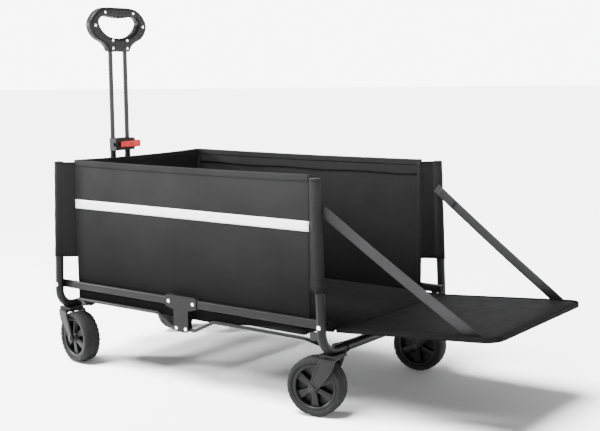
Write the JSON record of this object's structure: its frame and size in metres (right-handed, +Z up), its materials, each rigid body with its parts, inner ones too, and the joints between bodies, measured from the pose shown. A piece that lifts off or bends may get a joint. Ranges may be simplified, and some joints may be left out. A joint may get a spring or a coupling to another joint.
{
  "type": "wagon with pull handle",
  "caption": "Folding four-wheeled wagon with a fabric bag, a drop tailgate held by webbing straps and a telescopic pull handle with a D-shaped grip.",
  "frame": {"origin": "on the ground under the middle of the whole object", "axes": "+X towards the tailgate, +Y towards the far side, +Z up; the handle is at -X"},
  "size_m": [1.537, 0.6572, 1.116],
  "materials": {
    "frame_paint": "satin black powder coat",
    "bag_fabric": "charcoal polyester oxford cloth",
    "base_fabric": "black polyester cloth",
    "floor_cloth": "cloth-covered fibreboard",
    "board": "plain fibreboard",
    "reflective_tape": "light grey reflective tape",
    "webbing": "ribbed polyester webbing",
    "bright_rivet": "bright zinc",
    "zinc_steel": "zinc plated",
    "inner_tube": "satin dark steel",
    "moulded_black": "fine textured moulding",
    "fork_plastic": "satin nylon moulding",
    "rim_plastic": "satin nylon moulding",
    "tyre_rubber": "matt rubber",
    "lever_red": "glossy red moulding"
  },
  "bodies": {
    "rear_frame": {"rear_frame": "frame_paint", "rear_post_caps": "moulded_black", "rear_rivets": "bright_rivet", "rear_hinge_brackets": "frame_paint", "rear_caster_mounts": "frame_paint", "rear_kingpins": "zinc_steel", "rear_sleeves": "bag_fabric", "side_panel_near": "bag_fabric", "side_panel_far": "bag_fabric", "reflective_strips": "reflective_tape", "tailgate_straps": "webbing"},
    "tailgate": {"tailgate_board": "board", "tailgate_cover": "bag_fabric"},
    "rear_rails": {"rear_rails": "frame_paint", "floor_board_rear": "floor_cloth", "base_cover_rear": "base_fabric"},
    "centre_plates": {"hinge_plates_near": "frame_paint", "hinge_plates_far": "frame_paint", "centre_rivets": "bright_rivet"},
    "front_rails": {"front_rails": "frame_paint", "floor_board_front": "floor_cloth", "base_cover_front": "base_fabric"},
    "front_frame": {"front_frame": "frame_paint", "front_post_caps": "moulded_black", "front_rivets": "bright_rivet", "front_hinge_brackets": "frame_paint", "front_caster_mounts": "frame_paint", "front_kingpins": "zinc_steel", "front_sleeves": "bag_fabric", "end_panel": "bag_fabric", "handle_yoke": "frame_paint", "handle_pin": "bright_rivet"},
    "rear_lower_frame": {"rear_lower_frame": "frame_paint"},
    "front_lower_frame": {"front_lower_frame": "frame_paint"},
    "handle": {"handle_foot": "moulded_black", "outer_tubes": "frame_paint", "latch_bracket": "moulded_black", "latch_bolt": "zinc_steel"},
    "latch_lever": {"latch_lever": "lever_red"},
    "grip": {"inner_tubes": "inner_tube", "grip_front": "moulded_black", "grip_rear": "moulded_black", "grip_screws": "bright_rivet"},
    "caster_rear_near": {"fork_rear_near": "fork_plastic", "axle_rear_near": "zinc_steel"},
    "wheel_rear_near": {"rim_rear_near": "rim_plastic", "tyre_rear_near": "tyre_rubber"},
    "caster_rear_far": {"fork_rear_far": "fork_plastic", "axle_rear_far": "zinc_steel"},
    "wheel_rear_far": {"rim_rear_far": "rim_plastic", "tyre_rear_far": "tyre_rubber"},
    "caster_front_near": {"fork_front_near": "fork_plastic", "axle_front_near": "zinc_steel"},
    "wheel_front_near": {"rim_front_near": "rim_plastic", "tyre_front_near": "tyre_rubber"},
    "caster_front_far": {"fork_front_far": "fork_plastic", "axle_front_far": "zinc_steel"},
    "wheel_front_far": {"rim_front_far": "rim_plastic", "tyre_front_far": "tyre_rubber"}
  },
  "joints": [
    {"name": "fold", "type": "hinge", "parent": "rear_frame", "child": "rear_rails", "pos_m": [0.29486, 0, 0.25], "axis": [0, 1, 0], "range_deg": [0, 68], "deforming": ["side_panel_near", "side_panel_far", "reflective_strips", "end_panel", "rear_sleeves", "front_sleeves"]},
    {"name": "rear_rail_inner", "type": "hinge", "parent": "rear_rails", "child": "centre_plates", "pos_m": [-0.16314, 0, 0.25], "axis": [0, 1, 0], "range_deg": [-68, 0]},
    {"name": "front_rail_inner", "type": "hinge", "parent": "centre_plates", "child": "front_rails", "pos_m": [-0.25714, 0, 0.25], "axis": [0, 1, 0], "range_deg": [-68, 0]},
    {"name": "front_rail_outer", "type": "hinge", "parent": "front_rails", "child": "front_frame", "pos_m": [-0.71513, 0, 0.25], "axis": [0, 1, 0], "range_deg": [0, 68]},
    {"name": "rear_lower_pivot", "type": "hinge", "parent": "rear_frame", "child": "rear_lower_frame", "pos_m": [0.26587, 0, 0.174], "axis": [0, 1, 0], "range_deg": [0, 68]},
    {"name": "front_lower_pivot", "type": "hinge", "parent": "front_frame", "child": "front_lower_frame", "pos_m": [-0.68614, 0, 0.174], "axis": [0, 1, 0], "range_deg": [-68, 0]},
    {"name": "tailgate_hinge", "type": "hinge", "parent": "rear_frame", "child": "tailgate", "pos_m": [0.30386, 0, 0.241], "axis": [0, -1, 0], "range_deg": [0, 87], "deforming": ["tailgate_straps"]},
    {"name": "handle_pivot", "type": "hinge", "parent": "front_frame", "child": "handle", "pos_m": [-0.75353, 0, 0.186], "axis": [0, 1, 0], "range_deg": [-98, 0]},
    {"name": "handle_slide", "type": "slide", "parent": "handle", "child": "grip", "axis": [0, 0, 1], "range_m": [-0.27, 0]},
    {"name": "lever_cam", "type": "hinge", "parent": "handle", "child": "latch_lever", "pos_m": [-0.73853, 0.053, 0.67], "axis": [0, 0, 1], "range_deg": [0, 130]},
    {"name": "swivel_rear_near", "type": "hinge", "parent": "rear_frame", "child": "caster_rear_near", "pos_m": [0.29826, -0.2651, 0.162], "axis": [0, 0, 1], "continuous": true},
    {"name": "spin_rear_near", "type": "hinge", "parent": "caster_rear_near", "child": "wheel_rear_near", "pos_m": [0.25344, -0.27545, 0.08], "axis": [-0.225, 0.9744, 0], "continuous": true},
    {"name": "swivel_rear_far", "type": "hinge", "parent": "rear_frame", "child": "caster_rear_far", "pos_m": [0.29826, 0.2651, 0.162], "axis": [0, 0, 1], "continuous": true},
    {"name": "spin_rear_far", "type": "hinge", "parent": "caster_rear_far", "child": "wheel_rear_far", "pos_m": [0.25271, 0.2587, 0.08], "axis": [-0.1392, 0.9903, 0], "continuous": true},
    {"name": "swivel_front_near", "type": "hinge", "parent": "front_frame", "child": "caster_front_near", "pos_m": [-0.71853, -0.2651, 0.162], "axis": [0, 0, 1], "continuous": true},
    {"name": "spin_front_near", "type": "hinge", "parent": "caster_front_near", "child": "wheel_front_near", "pos_m": [-0.67337, -0.27388, 0.08], "axis": [0.1908, 0.9816, 0], "continuous": true},
    {"name": "swivel_front_far", "type": "hinge", "parent": "front_frame", "child": "caster_front_far", "pos_m": [-0.71853, 0.2651, 0.162], "axis": [0, 0, 1], "continuous": true},
    {"name": "spin_front_far", "type": "hinge", "parent": "caster_front_far", "child": "wheel_front_far", "pos_m": [-0.71853, 0.2191, 0.08], "axis": [1, 0, 0], "continuous": true}
  ],
  "couplings": [
    {"joint": "rear_rail_inner", "follows": "fold", "ratio": -1},
    {"joint": "front_rail_inner", "follows": "fold", "ratio": -1},
    {"joint": "front_rail_outer", "follows": "fold", "ratio": 1},
    {"joint": "rear_lower_pivot", "follows": "fold", "ratio": 1},
    {"joint": "front_lower_pivot", "follows": "fold", "ratio": -1}
  ]
}
